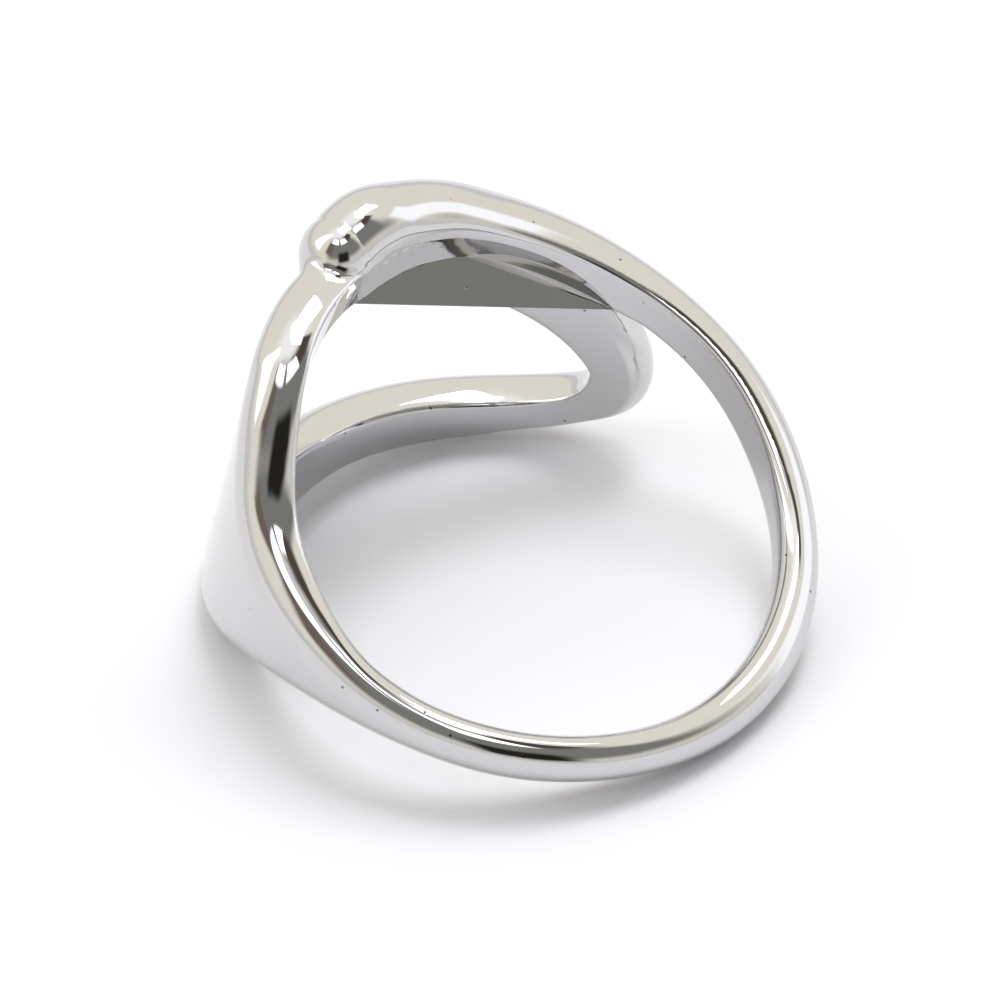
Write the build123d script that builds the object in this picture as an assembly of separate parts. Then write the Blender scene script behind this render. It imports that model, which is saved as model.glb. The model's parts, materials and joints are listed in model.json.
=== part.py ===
from build123d import *
import math
import os

# Free-form finger ring with an open teardrop loop and a crossover arm, in mm.
# It is first drawn upright in the finger frame: the finger runs along Z, heights are along Z,
# and angles run anticlockwise seen from above. Then the ring is laid on its side, as it rests.

BORE_R = 8.65            # radius of the finger hole
SIZING_SEAM = -52        # where the back of the shank is closed
ARM_SEAM = 36            # where the crossover arm is joined to the shank
SOLDER = 0.16            # thickness of a soldered joint, along the band
NOSE_BULGE = 0.04        # how much wider the arm's round end is than the arm just before it
OUTLINE_POINTS = 20      # points in the outline of one cross-section

# Each row is one cross-section of a strand: angle, height of its middle, thickness outside the
# finger hole, half-width along the ring's side, and how far its middle is lifted (1 is tangent).
BAND = [
    (-62, 0.10, 1.46, 0.92, 0.45),
    (-52, 0.00, 1.48, 0.90, 0.45),
    (-38, -0.18, 1.54, 0.92, 0.45),
    (-20, -0.25, 1.62, 1.00, 0.45),
    (0, 0.05, 1.64, 1.10, 0.45),
    (18, 0.65, 1.55, 1.08, 0.45),
    (28, 1.10, 1.49, 1.06, 0.45),
    (36, 1.50, 1.45, 1.04, 0.45),
    (54, 2.40, 1.40, 0.97, 0.45),
    (72, 3.10, 1.52, 0.88, 0.48),
    (90, 3.75, 1.82, 0.88, 0.55),
    (104, 4.35, 2.10, 0.96, 0.64),
    (117, 5.00, 2.34, 1.10, 0.74),
    (128, 5.65, 2.52, 1.24, 0.84),
    (140, 6.15, 2.70, 1.36, 0.92),
    (153, 6.38, 2.80, 1.42, 0.97),
]

# The flared shoulder, from the back of the shank to the edge of the loop's opening.
SHOULDER = [
    (-42, -0.15, 1.52, 0.91, 0.45),
    (-52, 0.00, 1.48, 0.90, 0.45),
    (-64, 0.10, 1.45, 0.92, 0.45),
    (-82, 0.15, 1.42, 0.96, 0.45),
    (-100, 0.14, 1.42, 1.04, 0.45),
    (-114, 0.08, 1.50, 1.36, 0.45),
    (-126, -0.05, 1.60, 1.88, 0.45),
    (-136, -0.35, 1.70, 2.40, 0.45),
    (-146, -0.75, 1.80, 3.20, 0.45),
    (-156, -0.60, 1.88, 4.40, 0.45),
    (-166, -0.30, 1.90, 5.40, 0.45),
    (-175, -0.20, 1.88, 5.95, 0.45),
    (-180, -0.20, 1.70, 6.05, 0.45),
    (-182.5, -0.20, 1.10, 6.00, 0.45),
]

# The loop: up the left side, over the apex, down to its narrow end and back along the bottom.
LOOP = [
    (194, 3.30, 1.88, 1.50, 0.45),
    (187, 4.60, 1.88, 1.25, 0.45),
    (178, 5.45, 1.88, 1.05, 0.45),
    (166, 5.70, 1.85, 0.90, 0.45),
    (153, 5.45, 1.80, 0.85, 0.45),
    (140, 4.95, 1.80, 0.95, 0.45),
    (128, 4.35, 1.80, 1.12, 0.45),
    (116, 3.50, 1.80, 1.24, 0.45),
    (104, 2.50, 1.82, 1.28, 0.45),
    (94, 1.55, 1.86, 1.28, 0.45),
    (86, 0.45, 1.90, 1.20, 0.45),
    (80.8, -0.80, 1.90, 1.10, 0.45),
    (82, -2.05, 1.90, 1.00, 0.45),
    (87, -3.05, 1.92, 0.82, 0.45),
    (94.5, -3.95, 1.95, 0.84, 0.45),
    (105, -4.62, 1.95, 0.92, 0.45),
    (117, -4.92, 1.92, 1.04, 0.45),
    (130, -4.98, 1.88, 1.16, 0.45),
    (143, -4.88, 1.88, 1.26, 0.45),
    (155, -4.70, 1.88, 1.55, 0.45),
    (167, -4.35, 1.90, 1.95, 0.45),
    (179, -3.90, 1.90, 2.40, 0.45),
    (190, -3.40, 1.88, 2.40, 0.45),
]

# The fillet of solder in the groove between the arm and the loop's upper strand.
LAP = [
    (104, 3.50, 1.95, 0.36, 5.0),
    (117, 4.10, 2.05, 0.38, 5.0),
    (128, 4.60, 2.10, 0.40, 5.0),
    (139, 4.88, 2.10, 0.40, 5.0),
    (149, 4.95, 2.05, 0.36, 5.0),
]


def radial(angle):
    return Vector(math.cos(math.radians(angle)), math.sin(math.radians(angle)), 0)


def on_bore(row):
    """The point on the finger hole's wall behind a cross-section's middle."""
    return radial(row[0]) * BORE_R + Vector(0, 0, row[1])


def outline(row, direction, boxiness):
    """One cross-section: a closed curve square to the strand, rounder where it is lifted."""
    _, _, thickness, half_width, lift = row
    power = 2 + boxiness * max(0, 1 - lift) / 0.55
    out = radial(row[0])
    depth = thickness / (1 + lift)
    along = (direction - out * direction.dot(out)).normalized()
    side = out.cross(along)
    middle = on_bore(row) + out * depth * lift
    points = []
    for i in range(OUTLINE_POINTS):
        turn = 2 * math.pi * i / OUTLINE_POINTS
        c = math.cos(turn)
        s = math.sin(turn)
        x = depth * math.copysign(abs(c) ** (2 / power), c)
        y = half_width * math.copysign(abs(s) ** (2 / power), s)
        points.append(middle + out * x + side * y)
    return Wire(Spline(*points, periodic=True))


def strand(rows, boxiness=0.4, level=False):
    """A smooth solid through a list of cross-sections. A level one keeps them upright."""
    wires = []
    for i, row in enumerate(rows):
        before = on_bore(rows[max(i - 1, 0)])
        after = on_bore(rows[min(i + 1, len(rows) - 1)])
        direction = after - before
        if level:
            direction = Vector(direction.X, direction.Y, 0)
        wires.append(outline(row, direction, boxiness))
    return Solid.make_loft(wires)


def sector(start, end):
    """A wedge of space round the finger axis, from one angle to another."""
    reach = 30
    steps = max(2, math.ceil((end - start) / 40))
    corners = [(0, 0)]
    for i in range(steps + 1):
        angle = math.radians(start + (end - start) * i / steps)
        corners.append((reach * math.cos(angle), reach * math.sin(angle)))
    wedge = Plane.XY.offset(-20) * make_face(Polyline(*corners, close=True))
    return extrude(wedge, amount=40)


def degrees_of(length):
    return math.degrees(length / BORE_R)


finger = Cylinder(BORE_R, 60)
angles = [row[0] for row in BAND]
seam_row = angles.index(ARM_SEAM)
back = strand(BAND[:seam_row + 2]) - finger
nose_row = BAND[-1]
nose_middle = on_bore(nose_row) + radial(nose_row[0]) * nose_row[3] * nose_row[4]
nose_tip = radial(nose_row[0] + 90)
nose = Plane(nose_middle, z_dir=nose_tip) * Sphere(nose_row[3] + NOSE_BULGE)
arm = strand(BAND[seam_row - 1:]) + nose - finger
shoulder = strand(SHOULDER, boxiness=0.8, level=True) - finger
head = strand(LOOP) - finger

half_gap = degrees_of(SOLDER) / 2
shank = back & sector(SIZING_SEAM + half_gap, ARM_SEAM - half_gap)
crossover_arm = arm & sector(ARM_SEAM + half_gap, 175)
arm_solder = back & sector(ARM_SEAM - half_gap, ARM_SEAM + half_gap)
sizing_solder = back & sector(SIZING_SEAM - half_gap, SIZING_SEAM + half_gap)
loop = (shoulder & sector(-190, SIZING_SEAM - half_gap)) + (head - crossover_arm)
lap_solder = strand(LAP) - finger - crossover_arm - loop

# Lay the ring down on its loop, its shoulder and the back of its shank, its head towards -Y.
LEAN = 16.5              # how far the finger axis leans from upright, in degrees
LEAN_AXIS = 58.5         # the level line that it leans about, as an angle round the finger
SPIN = 137               # turns the head to the front

parts = {
    "loop": loop,
    "shank": shank,
    "crossover_arm": crossover_arm,
    "arm_solder": arm_solder,
    "sizing_solder": sizing_solder,
    "lap_solder": lap_solder,
}

lean_line = Axis((0, 0, 0), (math.cos(math.radians(LEAN_AXIS)), math.sin(math.radians(LEAN_AXIS)), 0))
for name, shape in parts.items():
    parts[name] = shape.rotate(lean_line, LEAN).rotate(Axis.Z, SPIN)

box = Compound(list(parts.values())).bounding_box()
centre = box.center()
drop = Vector(-centre.X, -centre.Y, -box.min.Z)

os.makedirs("parts", exist_ok=True)
for name, shape in parts.items():
    export_step(shape.translate(drop), f"parts/{name}.step")
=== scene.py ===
"""A polished silver finger ring with an open teardrop loop, lying on its side on a white table."""

import bmesh
import bpy
import json
import math
import numpy as np
from mathutils import Matrix, Vector


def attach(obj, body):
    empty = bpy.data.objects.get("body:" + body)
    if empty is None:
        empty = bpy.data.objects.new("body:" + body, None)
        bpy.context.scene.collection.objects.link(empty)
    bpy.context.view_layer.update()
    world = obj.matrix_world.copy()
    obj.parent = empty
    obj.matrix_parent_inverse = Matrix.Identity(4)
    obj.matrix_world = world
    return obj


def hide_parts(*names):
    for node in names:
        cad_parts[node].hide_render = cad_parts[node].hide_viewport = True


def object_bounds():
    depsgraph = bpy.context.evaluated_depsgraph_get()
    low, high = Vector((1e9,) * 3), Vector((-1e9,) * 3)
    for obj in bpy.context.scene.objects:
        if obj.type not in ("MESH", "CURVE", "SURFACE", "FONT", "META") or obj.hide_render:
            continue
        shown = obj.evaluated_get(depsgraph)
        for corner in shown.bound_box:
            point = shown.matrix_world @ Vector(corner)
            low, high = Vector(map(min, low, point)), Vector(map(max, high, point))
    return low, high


# The ring is worked out in millimetres in the finger frame, as in the CAD source: the finger runs
# along Z and angles run anticlockwise seen from above. It is then laid down in the row frame.
BORE_R = 8.65            # radius of the finger hole
MID_R = BORE_R + 0.9     # a cylinder through the middle of the metal, on which arcs are measured
LEAN = 16.5              # how far the finger axis leans from upright, in degrees
LEAN_AXIS = 58.5         # the level line that it leans about, as an angle round the finger
SPIN = 137               # turns the head to the front
SIZING_SEAM = -52        # where the back of the shank is closed
ARM_SEAM = 36            # where the crossover arm is joined to the shank
SOLDER = 0.16            # thickness of a soldered joint
PIT_PAINTED_SHADE = 0.25         # painted shade: how far the metal's colour is darkened at the bottom of a polishing pit
NOSE_ANGLE = 154.5       # where the arm's round end begins
SHOULDER_END = 177.5     # where the shoulder stops and the loop's opening begins
SHOULDER_ROUND = 1.5     # how far in from its edges the broad shoulder is rounded
GRID = 0.10
CRISP_EDGE = 0.18        # rounding along the finger hole, where the inside is left flat
WORN_EDGE = 1.0          # the same where the inside is rounded over
WELD_FILLET = 0.5        # rounding of the groove where the arm is soldered to the loop
CREASE_DEPTH = 0.07      # the fine line left along the same joint, inside the ring
CREASE_WIDTH = 0.12
SEAM_DEPTH = 0.15        # how far a piece's cut edge is turned in under the surface

CAMERA_DISTANCE = 0.180  # from the middle of the finger hole, in metres
CAMERA_ELEVATION = 51.13 # above the plane of the finger hole, in degrees
CAMERA_ROLL = 18.15

# Each row is one cross-section: angle, height of its middle, thickness outside the finger hole,
# half-width, how far its middle is lifted, and how boxy it is.
ARM = [
    (-62, 0.10, 1.46, 0.92, 0.45, 2.1),
    (-52, 0.00, 1.48, 0.90, 0.45, 2.1),
    (-38, -0.18, 1.54, 0.92, 0.45, 2.1),
    (-20, -0.25, 1.62, 1.00, 0.45, 2.1),
    (0, 0.05, 1.64, 1.10, 0.45, 2.1),
    (18, 0.65, 1.55, 1.08, 0.45, 2.1),
    (36, 1.50, 1.45, 1.04, 0.45, 2.1),
    (54, 2.40, 1.40, 0.97, 0.45, 2.1),
    (72, 3.10, 1.52, 0.88, 0.48, 2.1),
    (90, 3.75, 1.82, 0.88, 0.55, 2.1),
    (104, 4.35, 2.10, 0.96, 0.64, 2.05),
    (117, 5.00, 2.34, 1.10, 0.74, 2.0),
    (128, 5.65, 2.52, 1.24, 0.84, 2.0),
    (140, 6.15, 2.70, 1.36, 0.92, 2.0),
    (148, 6.34, 2.78, 1.42, 0.95, 2.0),
    (154.5, 5.96, 2.70, 1.40, 0.94, 2.0),
]

SHOULDER = [
    (177.5, -0.20, 1.88, 6.00, 0.45, 2.2),
    (185, -0.20, 1.88, 5.95, 0.45, 2.2),
    (194, -0.30, 1.90, 5.40, 0.45, 2.2),
    (204, -0.62, 1.88, 4.38, 0.45, 2.2),
    (214, -0.62, 1.80, 3.28, 0.45, 2.2),
    (224, -0.32, 1.70, 2.45, 0.45, 2.2),
    (234, -0.06, 1.60, 1.86, 0.45, 2.2),
    (246, 0.08, 1.50, 1.36, 0.45, 2.2),
    (260, 0.14, 1.42, 1.04, 0.45, 2.2),
    (278, 0.15, 1.42, 0.96, 0.45, 2.2),
    (296, 0.10, 1.45, 0.92, 0.45, 2.1),
    (308, 0.00, 1.48, 0.90, 0.45, 2.1),
    (322, -0.18, 1.54, 0.92, 0.45, 2.1),
    (340, -0.25, 1.62, 1.00, 0.45, 2.1),
]

LOOP = [
    (196, 2.50, 1.88, 1.30, 0.45, 2.1),
    (188, 4.45, 1.88, 1.20, 0.45, 2.1),
    (178, 5.45, 1.88, 1.05, 0.45, 2.1),
    (166, 5.70, 1.85, 0.90, 0.45, 2.1),
    (153, 5.45, 1.80, 0.85, 0.45, 2.1),
    (140, 4.95, 1.80, 0.95, 0.45, 2.1),
    (128, 4.35, 1.80, 1.12, 0.45, 2.1),
    (116, 3.50, 1.80, 1.24, 0.45, 2.1),
    (104, 2.50, 1.82, 1.28, 0.45, 2.1),
    (93.4, 1.62, 1.86, 1.38, 0.45, 2.1),
    (85.5, 0.50, 1.90, 1.27, 0.45, 2.1),
    (80.8, -0.80, 1.90, 1.10, 0.45, 2.1),
    (82, -2.05, 1.90, 1.00, 0.45, 2.1),
    (87, -3.05, 1.92, 0.82, 0.45, 2.1),
    (94.5, -3.95, 1.95, 0.84, 0.45, 2.1),
    (105, -4.62, 1.95, 0.92, 0.45, 2.1),
    (117, -4.92, 1.92, 1.04, 0.45, 2.1),
    (130, -4.98, 1.88, 1.16, 0.45, 2.1),
    (143, -4.88, 1.88, 1.26, 0.45, 2.1),
    (155, -4.70, 1.88, 1.55, 0.45, 2.1),
    (167, -4.35, 1.90, 1.95, 0.45, 2.1),
    (181, -3.80, 1.90, 2.35, 0.45, 2.1),
    (197, -2.60, 1.88, 2.10, 0.45, 2.1),
]

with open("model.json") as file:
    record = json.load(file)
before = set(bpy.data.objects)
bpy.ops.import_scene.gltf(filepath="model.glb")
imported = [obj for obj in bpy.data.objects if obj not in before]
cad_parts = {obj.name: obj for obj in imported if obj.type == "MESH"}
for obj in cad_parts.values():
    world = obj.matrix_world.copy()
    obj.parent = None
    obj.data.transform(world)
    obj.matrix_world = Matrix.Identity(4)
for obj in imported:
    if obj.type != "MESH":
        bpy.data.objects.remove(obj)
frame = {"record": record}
cad_box = [list(corner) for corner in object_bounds()]


# ---------------------------------------------------------------- curves through the cross-sections

def spline(knots, rows):
    """A smooth curve through rows at rising knots, as (knots, rows, second derivatives)."""
    knots = np.asarray(knots, float)
    rows = np.asarray(rows, float)
    gaps = np.diff(knots)
    count = len(knots)
    system = np.eye(count)
    target = np.zeros_like(rows)
    for i in range(1, count - 1):
        system[i, i - 1] = gaps[i - 1]
        system[i, i] = 2 * (gaps[i - 1] + gaps[i])
        system[i, i + 1] = gaps[i]
        target[i] = 6 * ((rows[i + 1] - rows[i]) / gaps[i] - (rows[i] - rows[i - 1]) / gaps[i - 1])
    return knots, rows, np.linalg.solve(system, target)


def along(curve, at, order=0):
    """The curve's values, slopes or second derivatives at some places along it."""
    knots, rows, bends = curve
    at = np.clip(at, knots[0], knots[-1])
    i = np.clip(np.searchsorted(knots, at) - 1, 0, len(knots) - 2)
    gap = (knots[i + 1] - knots[i])[:, None]
    q = (at - knots[i])[:, None] / gap
    p = 1 - q
    if order == 0:
        bend = ((p ** 3 - p) * bends[i] + (q ** 3 - q) * bends[i + 1]) * gap ** 2 / 6
        return p * rows[i] + q * rows[i + 1] + bend
    if order == 1:
        bend = ((3 * q ** 2 - 1) * bends[i + 1] - (3 * p ** 2 - 1) * bends[i]) * gap / 6
        return (rows[i + 1] - rows[i]) / gap + bend
    return p * bends[i] + q * bends[i + 1]


def by_angle(table):
    """A strand that runs steadily round the finger, as a curve over its angle."""
    return spline([row[0] for row in table], table)


def by_length(table):
    """A strand that doubles back, as a curve over the length along it."""
    rows = np.array(table)
    steps = np.diff(rows[:, :2], axis=0) * [math.radians(MID_R), 1]
    return spline(np.concatenate([[0], np.cumsum(np.hypot(*steps.T))]), rows)


def nearest(curve, theta, height, radius):
    """The place on a strand nearest to each point, and its distance, on the cylinder through it."""
    stations = np.linspace(curve[0][0], curve[0][-1], 160)
    middles = along(curve, stations)[:, :2]
    mid_arc = math.radians(MID_R)
    place = np.empty(len(theta))
    for start in range(0, len(theta), 60000):
        part = slice(start, start + 60000)
        gap = (theta[part, None] - middles[None, :, 0]) * mid_arc
        rise = height[part, None] - middles[None, :, 1]
        place[part] = stations[(gap ** 2 + rise ** 2).argmin(1)]
    arc = np.stack([np.radians(1) * radius, np.ones_like(radius)], 1)
    here = np.stack([theta, height], 1)
    for _ in range(3):
        offset = (along(curve, place)[:, :2] - here) * arc
        slope = along(curve, place, 1)[:, :2] * arc
        bend = along(curve, place, 2)[:, :2] * arc
        speed = (slope ** 2).sum(1)
        place = place - (offset * slope).sum(1) / np.maximum(speed + (offset * bend).sum(1), 0.3 * speed)
        place = np.clip(place, curve[0][0], curve[0][-1])
    offset = (along(curve, place)[:, :2] - here) * arc
    return place, np.hypot(*offset.T)


# ------------------------------------------------------ solids as fields that are negative inside

def soft_min(a, b, reach):
    overlap = np.maximum(reach - np.abs(a - b), 0) / reach
    return np.minimum(a, b) - overlap ** 2 * reach / 4


def soft_max(a, b, reach):
    return -soft_min(-a, -b, reach)


def section(across, height_out, thickness, lift, power, filled=0):
    """A cross-section's field. across is 0 at its middle and 1 at its side. Where filled is 1, the
    side goes straight down to the finger hole."""
    depth = thickness / (1 + lift)
    out = height_out / depth - lift
    out = np.where(out < 0, -out * (1 - filled), out)
    return ((out ** power + np.abs(across) ** power + 1e-12) ** (1 / power) - 1) * depth


def polar(points):
    return np.degrees(np.arctan2(points[:, 1], points[:, 0])), np.hypot(points[:, 0], points[:, 1])


def ease(value, start, end):
    """0 before start and 1 after end, with a smooth change between them."""
    share = np.clip((value - start) / (end - start), 0, 1)
    return share * share * (3 - 2 * share)


def from_side(curve, theta, height, radius):
    """How far across a steady strand each point is, and the strand's sizes there."""
    rows = along(curve, theta)
    slope = along(curve, theta, 1)[:, 1] / np.radians(MID_R)
    return np.abs(height - rows[:, 1]) / np.sqrt(1 + slope ** 2), rows


arm_curve = by_angle(ARM)
shoulder_curve = by_angle(SHOULDER)
loop_curve = by_length(LOOP)


def arm_solid(points):
    """The back of the shank and the crossover arm, with its round nose."""
    theta, radius = polar(points)
    aside, rows = from_side(arm_curve, theta, points[:, 2], radius)
    past_end = np.maximum(np.radians(theta - NOSE_ANGLE) * radius, 0)
    lower_side = ease(rows[:, 1] - points[:, 2], 0, 0.3) * ease(theta, 78, 88) * ease(theta, 148, 138)
    across = np.hypot(aside, past_end) / rows[:, 3]
    return section(across, radius - BORE_R, rows[:, 2], rows[:, 4], rows[:, 5], lower_side)


def head_solid(points):
    """The left half of the shank, the shoulder and the open loop, and how worn the inside is."""
    theta, radius = polar(points)
    theta = theta % 360
    aside, rows = from_side(shoulder_curve, theta, points[:, 2], radius)
    past_end = np.radians(SHOULDER_END - theta) * radius
    rim = soft_max(aside - rows[:, 3], past_end, 0.8)
    rows = rows.copy()
    worn = ease(theta, 220, 250)
    filled = np.zeros(len(points))

    near = theta < 215
    place, distance = nearest(loop_curve, theta[near], points[near, 2], radius[near])
    strand = along(loop_curve, place)
    heading = along(loop_curve, place, 1)
    across = np.stack([theta[near], points[near, 2]], 1) - strand[:, :2]
    outer_side = heading[:, 1] * across[:, 0] - heading[:, 0] * across[:, 1]
    strand_rim = distance - strand[:, 3]
    share = ease(rim[near] - strand_rim, -0.4, 0.4)
    rows[near, 2:] += (strand[:, 2:] - rows[near, 2:]) * share[:, None]
    worn[near] = ease(outer_side, 0, 6) * ease(theta[near], 112, 95)
    filled[near] = ease(outer_side, -1, 2) * ease(theta[near], 168, 160) * ease(points[near, 2], -1, 0.5)
    rim[near] = soft_min(rim[near], strand_rim, 1.0)
    rounded = rows[:, 3] / (1 + (rows[:, 3] / SHOULDER_ROUND) ** 4) ** 0.25
    across = np.maximum(1 + rim / rounded, 0)
    return section(across, radius - BORE_R, rows[:, 2], rows[:, 4], rows[:, 5], filled), worn


def off_finger(points, solid, worn):
    """Cuts a solid along the finger hole. worn is 0 for a crisp edge and 1 for a rounded one."""
    _, radius = polar(points)
    return soft_max(solid, BORE_R - radius, CRISP_EDGE + (WORN_EDGE - CRISP_EDGE) * worn)


def shank_field(points):
    theta, _ = polar(points)
    return off_finger(points, arm_solid(points), ease(theta, 45, 5))


def joined(points):
    """The head's and the arm's solids over the front of the ring, and how worn their inside is."""
    theta, _ = polar(points)
    head, worn = head_solid(points)
    arm = np.full(len(points), 9.0)
    beside = theta > 20
    arm[beside] = arm_solid(points[beside])
    on_shank = ease(theta, 45, 5) * beside
    return head, arm, np.maximum(worn * ease(arm, 0.6, 2.2), on_shank)


def front_field(points):
    """The loop and the crossover arm, filleted together where the arm is soldered down."""
    head, arm, worn = joined(points)
    _, radius = polar(points)
    crease = CREASE_DEPTH * np.exp(-((head - arm) / CREASE_WIDTH) ** 2)
    solid = soft_min(head, arm, WELD_FILLET) + crease * ease(radius - BORE_R, 0.5, 0.1)
    return off_finger(points, solid, worn)


# ------------------------------------------------------------------------- fields into smooth meshes

EDGES = [(axis, a, b) for axis in range(3) for a in (0, 1) for b in (0, 1)]


def surface(field, angles, heights, depths):
    """Points and quads on a field's surface, over a grid wrapped round the finger."""
    mid = math.radians(MID_R)
    count = [
        int((angles[1] - angles[0]) * mid / GRID),
        int((heights[1] - heights[0]) / GRID),
        int((depths[1] - depths[0]) / GRID),
    ]
    ticks = [np.linspace(*span, n) for span, n in zip((angles, heights, depths), count)]
    cells = np.stack(np.meshgrid(*ticks, indexing="ij"), -1).reshape(-1, 3)

    def wrap(rows):
        turn = np.radians(rows[:, 0])
        radius = BORE_R + rows[:, 2]
        return np.stack([radius * np.cos(turn), radius * np.sin(turn), rows[:, 1]], 1)

    values = field(wrap(cells)).reshape(count)
    inside = values < 0
    corners = sum(
        inside[i:count[0] - 1 + i, j:count[1] - 1 + j, k:count[2] - 1 + k].astype(int)
        for i in (0, 1) for j in (0, 1) for k in (0, 1)
    )
    active = np.argwhere((corners > 0) & (corners < 8))
    number = np.full([n - 1 for n in count], -1)
    number[tuple(active.T)] = np.arange(len(active))
    total = np.zeros((len(active), 3))
    hits = np.zeros(len(active))
    for axis, a, b in EDGES:
        offset = np.zeros(3, int)
        offset[(axis + 1) % 3] = a
        offset[(axis + 2) % 3] = b
        step = np.eye(3, dtype=int)[axis]
        low = values[tuple((active + offset).T)]
        high = values[tuple((active + offset + step).T)]
        crossed = (low < 0) != (high < 0)
        share = np.where(crossed, low / np.where(crossed, low - high, 1), 0)
        total[crossed] += (active + offset + share[:, None] * step)[crossed]
        hits += crossed
    middle = total / hits[:, None]
    spots = np.stack([np.interp(middle[:, i], np.arange(count[i]), ticks[i]) for i in range(3)], 1)

    faces = []
    for axis in range(3):
        u = (axis + 1) % 3
        v = (axis + 2) % 3
        first = np.take(inside, range(count[axis] - 1), axis)
        second = np.take(inside, range(1, count[axis]), axis)
        edges = np.argwhere(first != second)
        edges = edges[(edges[:, u] > 0) & (edges[:, v] > 0)]
        edges = edges[(edges[:, u] < count[u] - 1) & (edges[:, v] < count[v] - 1)]
        u_step = np.eye(3, dtype=int)[u]
        v_step = np.eye(3, dtype=int)[v]
        ring = [edges - u_step - v_step, edges - v_step, edges, edges - u_step]
        quads = np.stack([number[tuple(cell.T)] for cell in ring], 1)
        leaving = first[tuple(edges.T)]
        faces.append(np.where(leaving[:, None], quads, quads[:, ::-1]))
    return wrap(spots), np.concatenate(faces)


def slope_of(field, points):
    """The field and its gradient at some points."""
    step = 0.004
    gradient = np.empty_like(points)
    for axis in range(3):
        shift = np.eye(3)[axis] * step
        gradient[:, axis] = (field(points + shift) - field(points - shift)) / (2 * step)
    return field(points), gradient


def pull(field, points):
    """Moves points on to a field's surface."""
    value, gradient = slope_of(field, points)
    size = np.maximum((gradient ** 2).sum(1), 1e-3)
    move = -value[:, None] * gradient / size[:, None]
    length = np.linalg.norm(move, axis=1, keepdims=True)
    return points + move * np.minimum(1, 0.5 * GRID / np.maximum(length, 1e-9)), gradient


def settle(field, points, faces, rounds=4):
    """Evens out the mesh and brings it exactly on to the surface."""
    pairs = np.concatenate([faces[:, [i, (i + 1) % 4]] for i in range(4)])
    pairs = np.concatenate([pairs, pairs[:, ::-1]])
    degree = np.maximum(np.bincount(pairs[:, 0], minlength=len(points)), 1)[:, None]
    points, gradient = pull(field, points)
    for _ in range(rounds):
        mean = np.stack(
            [np.bincount(pairs[:, 0], points[pairs[:, 1], i], len(points)) for i in range(3)], 1
        ) / degree
        normal = gradient / np.maximum(np.linalg.norm(gradient, axis=1, keepdims=True), 1e-9)
        move = mean - points
        move -= (move * normal).sum(1, keepdims=True) * normal
        points, gradient = pull(field, points + 0.5 * move)
    points, _ = pull(field, points)
    return points


# ----------------------------------------------------------------------- meshes into ring pieces

hole = frame["record"]["mounts"][0]
lean_line = Vector((math.cos(math.radians(LEAN_AXIS)), math.sin(math.radians(LEAN_AXIS)), 0))
lean = Matrix.Rotation(math.radians(LEAN), 3, lean_line)
lay_down = Matrix.Rotation(math.radians(SPIN), 3, "Z") @ lean
turn_to_row = np.array(lay_down)
hole_middle = np.array(hole["pos_m"])
low_corner = np.array(cad_box[0]) + 1e-6
high_corner = np.array(cad_box[1]) - 1e-6


def to_row(points):
    """From millimetres in the finger frame to metres in the row frame, inside the CAD's box."""
    return np.clip(points @ turn_to_row.T / 1000 + hole_middle, low_corner, high_corner)


def trimmed(points, faces, start, end):
    """The part of a mesh between two angles round the finger, closed with flat ends."""
    bm = bmesh.new()
    corners = [bm.verts.new(p) for p in points]
    for face in faces:
        bm.faces.new([corners[i] for i in face])
    bm.normal_update()

    def angle_of(face):
        middle = face.calc_center_median()
        turn = math.degrees(math.atan2(middle.y, middle.x))
        return turn + 360 * round(((start + end) / 2 - turn) / 360)

    for seam in (start, end):
        near = [f for f in bm.faces if abs(angle_of(f) - seam) < 8]
        geometry = set(near)
        for f in near:
            geometry.update(f.edges)
            geometry.update(f.verts)
        tangent = (-math.sin(math.radians(seam)), math.cos(math.radians(seam)), 0)
        bmesh.ops.bisect_plane(bm, geom=list(geometry), dist=1e-5, plane_co=(0, 0, 0), plane_no=tangent)
    outside = [f for f in bm.faces if not start < angle_of(f) < end]
    bmesh.ops.delete(bm, geom=outside, context="FACES")
    return closed(bm, set(bm.faces))


def closed(bm, surface_faces):
    """Closes a mesh's open ends, and gives its points, its faces and which of them are ends.

    The ends are closed with flat faces. That is right for a short, flat end and wrong for a long
    curved one: at the fine grid the solder's and the loop's show as a plate across the opening."""
    before = set(bm.faces)
    bmesh.ops.holes_fill(bm, edges=[e for e in bm.edges if e.is_boundary])
    many_sided = [f for f in bm.faces if f not in before and len(f.verts) > 100]
    bmesh.ops.triangulate(bm, faces=many_sided)
    bm.verts.ensure_lookup_table()
    bm.verts.index_update()
    points = np.array([v.co for v in bm.verts])
    polygons = [[v.index for v in f.verts] for f in bm.faces]
    flat = [f not in surface_faces for f in bm.faces]
    bm.free()
    return points, polygons, flat


def part_of(points, polygons, chosen):
    """The chosen faces of a mesh, with its cut edges turned into the metal and then closed."""
    bm = bmesh.new()
    corners = [bm.verts.new(p) for p in points]
    for i in chosen:
        bm.faces.new([corners[k] for k in polygons[i]])
    bmesh.ops.delete(bm, geom=[v for v in bm.verts if not v.link_faces], context="VERTS")
    bm.normal_update()
    surface_faces = set(bm.faces)
    outward = {tuple(v.co): v.normal.copy() for v in bm.verts if v.is_boundary}
    turned = bmesh.ops.extrude_edge_only(bm, edges=[e for e in bm.edges if e.is_boundary])
    for v in turned["geom"]:
        if isinstance(v, bmesh.types.BMVert):
            v.co -= outward[tuple(v.co)] * SEAM_DEPTH
    return closed(bm, surface_faces)


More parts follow.
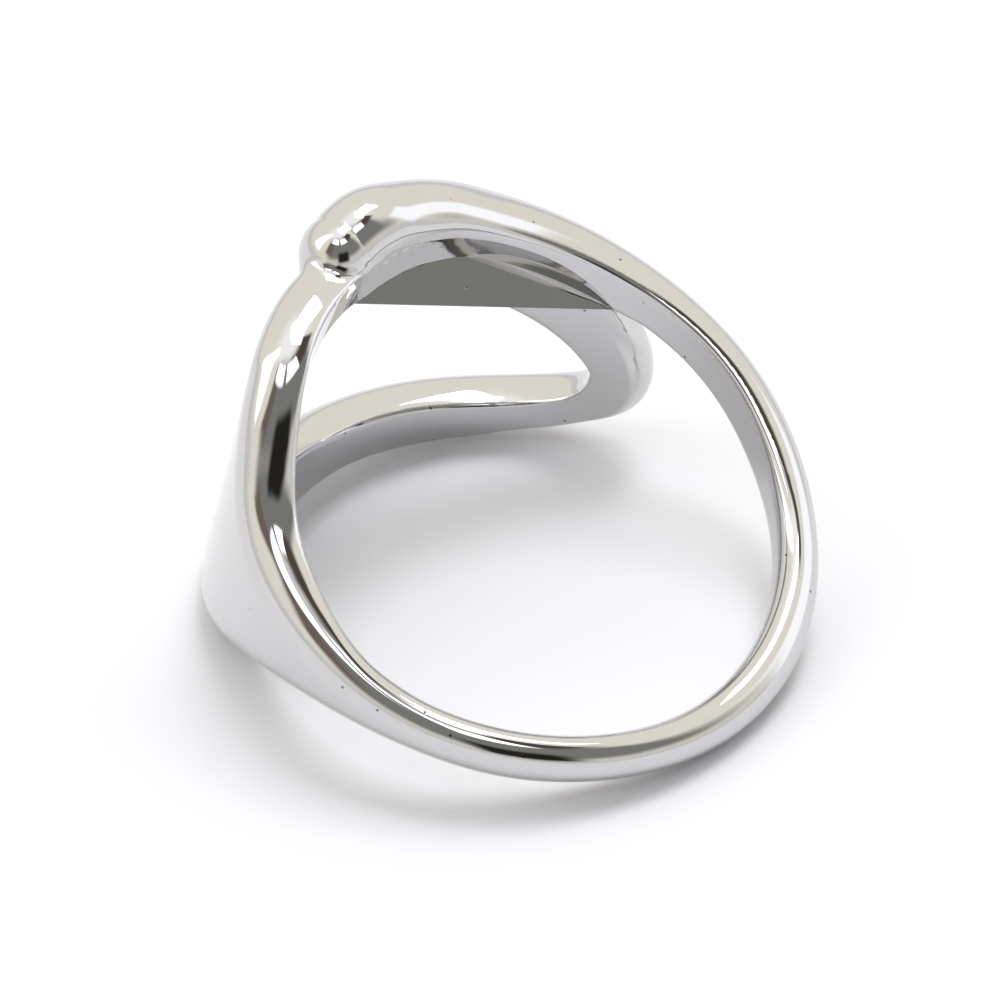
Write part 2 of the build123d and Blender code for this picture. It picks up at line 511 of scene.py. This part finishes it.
def piece(name, node, field, points, polygons, flat, material):
    """A Blender object for one part of the ring, shaded by the field's own slope."""
    mesh = bpy.data.meshes.new(name)
    mesh.from_pydata([tuple(p) for p in to_row(points)], [], polygons)
    mesh.shade_smooth()
    _, gradient = slope_of(field, points)
    gradient /= np.maximum(np.linalg.norm(gradient, axis=1, keepdims=True), 1e-9)
    normals = gradient @ turn_to_row.T
    corners = []
    for polygon, is_flat in zip(mesh.polygons, flat):
        own = tuple(polygon.normal)
        corners += [own if is_flat else tuple(normals[i]) for i in polygon.vertices]
    mesh.normals_split_custom_set(corners)
    mesh.materials.append(material)
    made = bpy.data.objects.new(name, mesh)
    bpy.context.scene.collection.objects.link(made)
    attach(made, "root")
    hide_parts(node)
    return made


# ------------------------------------------------------------------------------------- materials

def link(tree, source, output, target, socket):
    tree.links.new(source.outputs[output], target.inputs[socket])


def silver(name, tint, dullness):
    """Bright plated silver: faint waves from hand polishing, hairline scratches and casting pits, with
    painted shade darkening the colour inside each pit.
    """
    material = bpy.data.materials.new(name)
    material.use_nodes = True
    tree = material.node_tree
    shader = tree.nodes["Principled BSDF"]
    shader.inputs["Metallic"].default_value = 1
    place = tree.nodes.new("ShaderNodeTexCoord")

    waves = tree.nodes.new("ShaderNodeTexNoise")
    waves.inputs["Scale"].default_value = 420
    waves.inputs["Detail"].default_value = 2
    link(tree, place, "Object", waves, "Vector")

    stretch = tree.nodes.new("ShaderNodeMapping")
    stretch.inputs["Rotation"].default_value = (0.4, 0.9, 0.3)
    stretch.inputs["Scale"].default_value = (1, 1, 0.08)
    link(tree, place, "Object", stretch, "Vector")
    hairlines = tree.nodes.new("ShaderNodeTexNoise")
    hairlines.inputs["Scale"].default_value = 26000
    hairlines.inputs["Detail"].default_value = 3
    link(tree, stretch, "Vector", hairlines, "Vector")

    pits = tree.nodes.new("ShaderNodeTexVoronoi")
    pits.inputs["Scale"].default_value = 900
    link(tree, place, "Object", pits, "Vector")
    pit_edge_for_bump_and_shade = tree.nodes.new("ShaderNodeMapRange")
    pit_edge_for_bump_and_shade.inputs["From Min"].default_value = 0.03
    pit_edge_for_bump_and_shade.inputs["From Max"].default_value = 0.06
    link(tree, pits, "Distance", pit_edge_for_bump_and_shade, "Value")

    rough = tree.nodes.new("ShaderNodeMapRange")
    rough.inputs["To Min"].default_value = dullness * 0.6
    rough.inputs["To Max"].default_value = dullness * 1.5
    link(tree, waves, "Fac", rough, "Value")
    link(tree, rough, "Result", shader, "Roughness")

    # Painted shade: the base colour is darkened towards the bottom of each pit, set by
    # PIT_PAINTED_SHADE, on top of the pits' bump.
    painted_pit_shade = tree.nodes.new("ShaderNodeMix")
    painted_pit_shade.data_type = "RGBA"
    painted_pit_shade.inputs[6].default_value = (*[PIT_PAINTED_SHADE * level for level in tint], 1)
    painted_pit_shade.inputs[7].default_value = (*tint, 1)
    tree.links.new(pit_edge_for_bump_and_shade.outputs["Result"], painted_pit_shade.inputs[0])
    tree.links.new(painted_pit_shade.outputs[2], shader.inputs["Base Color"])

    bump = None
    reliefs = ((waves, "Fac", 6e-6), (hairlines, "Fac", 1e-8), (pit_edge_for_bump_and_shade, "Result", 4e-6))
    for source, output, depth in reliefs:
        layer = tree.nodes.new("ShaderNodeBump")
        layer.inputs["Distance"].default_value = depth
        link(tree, source, output, layer, "Height")
        if bump:
            link(tree, bump, "Normal", layer, "Normal")
        bump = layer
    link(tree, bump, "Normal", shader, "Normal")
    return material


def table_white():
    material = bpy.data.materials.new("table_white")
    material.use_nodes = True
    shader = material.node_tree.nodes["Principled BSDF"]
    shader.inputs["Base Color"].default_value = (0.77, 0.77, 0.81, 1)
    shader.inputs["Roughness"].default_value = 0.6
    shader.inputs["Specular IOR Level"].default_value = 0.2
    return material


bright = silver("bright_silver", (0.63, 0.626, 0.63), 0.03)
solder = silver("silver_solder", (0.61, 0.606, 0.61), 0.05)

half_gap = math.degrees(SOLDER / BORE_R) / 2
shank_mesh = surface(shank_field, (-64, 48), (-1.7, 3.6), (-0.25, 2.0))
shank_points = settle(shank_field, *shank_mesh)
for name, node, slot, start, end in (
    ("ring_shank", "shank", "shank", SIZING_SEAM + half_gap, ARM_SEAM - half_gap),
    ("ring_arm_solder", "arm_solder", "solder", ARM_SEAM - half_gap, ARM_SEAM + half_gap),
    ("ring_sizing_solder", "sizing_solder", "solder", SIZING_SEAM - half_gap, SIZING_SEAM + half_gap),
):
    kept, polygons, flat = trimmed(shank_points, shank_mesh[1], start, end)
    piece(name, node, shank_field, kept, polygons, flat, bright)

front_mesh = surface(front_field, (28, 316), (-7.6, 8.2), (-0.25, 3.1))
front_points = settle(front_field, *front_mesh)
arm_cut = ARM_SEAM + half_gap
sizing_cut = SIZING_SEAM + 360 - half_gap
kept, polygons, flat = trimmed(front_points, front_mesh[1], arm_cut, sizing_cut)
middles = np.array([kept[polygon].mean(0) for polygon in polygons])
head, arm, _ = joined(middles)
_, out = polar(middles)
in_groove = (np.abs(head - arm) < 0.2) & (out > BORE_R + 0.6)
owner = np.where(in_groove, 2, np.where(arm < head, 1, 0))
for i, (name, node, slot, material) in enumerate((
    ("ring_loop", "loop", "loop", bright),
    ("ring_crossover_arm", "crossover_arm", "crossover_arm", bright),
    ("ring_lap_solder", "lap_solder", "solder", solder),
)):
    own_points, own_polygons, own_flat = part_of(kept, polygons, np.flatnonzero(owner == i))
    piece(name, node, front_field, own_points, own_polygons, own_flat, material)


# ------------------------------------------------------------------------- table, light and camera

def table_top():
    bpy.ops.mesh.primitive_plane_add(size=2.4, location=(0, 0, 0))
    top = bpy.context.object
    top.name = "table_top"
    top.data.materials.append(table_white())


def softbox(name, towards, distance, width, height, power, colour):
    """A rectangular area light that faces the ring from one direction."""
    light = bpy.data.lights.new(name, "AREA")
    light.shape = "RECTANGLE"
    light.size = width
    light.size_y = height
    light.energy = power
    light.color = colour
    lamp = bpy.data.objects.new(name, light)
    bpy.context.scene.collection.objects.link(lamp)
    direction = Vector(towards).normalized()
    lamp.location = direction * distance
    lamp.rotation_mode = "QUATERNION"
    lamp.rotation_quaternion = direction.to_track_quat("Z", "Y")


def math_node(tree, operation, *values):
    """A maths node. Each value is a number or another node's output."""
    node = tree.nodes.new("ShaderNodeMath")
    node.operation = operation
    for socket, value in zip(node.inputs, values):
        if isinstance(value, (int, float)):
            socket.default_value = value
        else:
            tree.links.new(value, socket)
    return node.outputs["Value"]


def within(tree, value, half, soft):
    """1 where value is less than half, and 0 where it is more, with a soft edge."""
    node = tree.nodes.new("ShaderNodeMapRange")
    node.interpolation_type = "SMOOTHSTEP"
    node.inputs["From Min"].default_value = half - soft
    node.inputs["From Max"].default_value = half + soft
    node.inputs["To Min"].default_value = 1
    node.inputs["To Max"].default_value = 0
    tree.links.new(value, node.inputs["Value"])
    return node.outputs["Result"]


def blended(tree, amount, below, above):
    """One colour over another. A colour is three numbers or another node's output."""
    node = tree.nodes.new("ShaderNodeMix")
    node.data_type = "RGBA"
    tree.links.new(amount, node.inputs[0])
    for socket, colour in ((node.inputs[6], below), (node.inputs[7], above)):
        if isinstance(colour, tuple):
            socket.default_value = (*colour, 1)
        else:
            tree.links.new(colour, socket)
    return node.outputs[2]


# What stands round the ring: name, azimuth and elevation of its middle, half its width and height,
# the softness of its edge, all in degrees, and its brightness.
ROOM = [
    ("dim_side", 172, 45, 62, 28, 10, (0.27, 0.27, 0.25)),
    ("brown_door", 112, 48, 12, 22, 6, (0.22, 0.17, 0.14)),
    ("brown_beam", 215, 66, 34, 8, 4, (0.11, 0.085, 0.07)),
    ("photographer", 167, 22, 18, 13, 6, (0.025, 0.023, 0.02)),
    ("skylight_left", 128, 64, 22, 7, 2.5, (2.6, 2.6, 2.7)),
    ("skylight_right", 182, 64, 20, 7, 2.5, (2.6, 2.6, 2.7)),
    ("window_right", 254, 19, 13, 18, 4, (1.5, 1.5, 1.54)),
    ("window_left", 64, 46, 13, 26, 3, (2.2, 2.2, 2.25)),
    ("ceiling_light", 290, 80, 60, 6, 3, (5.0, 5.0, 5.2)),
]

WALLS = [(0, (0.84, 0.83, 0.81)), (8, (0.84, 0.83, 0.81)), (14, (1.06, 1.02, 0.90)),
         (60, (1.10, 1.06, 0.94)), (76, (1.34, 1.33, 1.29))]


def room():
    """A cream room with windows, and a dim side where the camera is held."""
    world = bpy.data.worlds.new("room")
    bpy.context.scene.world = world
    world.use_nodes = True
    tree = world.node_tree
    place = tree.nodes.new("ShaderNodeTexCoord")
    parts = tree.nodes.new("ShaderNodeSeparateXYZ")
    link(tree, place, "Generated", parts, "Vector")
    x, y, z = parts.outputs
    per_radian = math.degrees(1)
    height = math_node(tree, "MULTIPLY", math_node(tree, "ARCSINE", z), per_radian)
    backwards = math_node(tree, "MULTIPLY", y, -1.0)
    azimuth = math_node(tree, "MULTIPLY", math_node(tree, "ARCTAN2", x, backwards), per_radian)

    ramp = tree.nodes.new("ShaderNodeValToRGB")
    tree.links.new(math_node(tree, "DIVIDE", height, 90.0), ramp.inputs["Fac"])
    stops = ramp.color_ramp.elements
    while len(stops) > 1:
        stops.remove(stops[-1])
    for i, (elevation, colour) in enumerate(WALLS):
        stop = stops[0] if i == 0 else stops.new(elevation / 90)
        stop.position = elevation / 90
        stop.color = (*colour, 1)
    seen = ramp.outputs["Color"]
    for _, middle, level, half_width, half_height, soft, colour in ROOM:
        turn = math_node(tree, "SUBTRACT", azimuth, float(middle))
        turn = math_node(tree, "WRAP", turn, -180.0, 180.0)
        rise = math_node(tree, "SUBTRACT", height, float(level))
        wide = within(tree, math_node(tree, "ABSOLUTE", turn), half_width, soft)
        high = within(tree, math_node(tree, "ABSOLUTE", rise), half_height, soft)
        seen = blended(tree, math_node(tree, "MULTIPLY", wide, high), seen, colour)
    direct = tree.nodes.new("ShaderNodeLightPath")
    seen = blended(tree, direct.outputs["Is Camera Ray"], seen, (1.0, 1.0, 1.0))
    tree.links.new(seen, tree.nodes["Background"].inputs["Color"])


def camera():
    """Stands over the finger hole's middle. Its angles are in the finger frame, before the lean."""
    data = bpy.data.cameras.new("camera")
    data.sensor_width = 36
    data.lens = 188.5
    data.shift_x = -0.0248
    data.shift_y = 0.0355
    data.clip_start = 0.01
    eye = bpy.data.objects.new("camera", data)
    bpy.context.scene.collection.objects.link(eye)
    elevation = math.radians(CAMERA_ELEVATION)
    look = Vector((0, math.cos(elevation), -math.sin(elevation)))
    right = Vector((1, 0, 0))
    up = right.cross(look)
    roll = Matrix.Rotation(-math.radians(CAMERA_ROLL), 3, look)
    right = lay_down @ (roll @ right)
    up = lay_down @ (roll @ up)
    look = lay_down @ look
    eye.matrix_world = Matrix((right, up, -look)).transposed().to_4x4()
    eye.location = Vector(hole_middle) - look * CAMERA_DISTANCE
    bpy.context.scene.camera = eye


table_top()
room()
softbox("softbox_high", (-0.32, -0.16, 0.93), 0.60, 0.20, 0.26, 1.2, (0.97, 0.985, 1.0))
camera()
bpy.context.scene.view_settings.view_transform = "Standard"
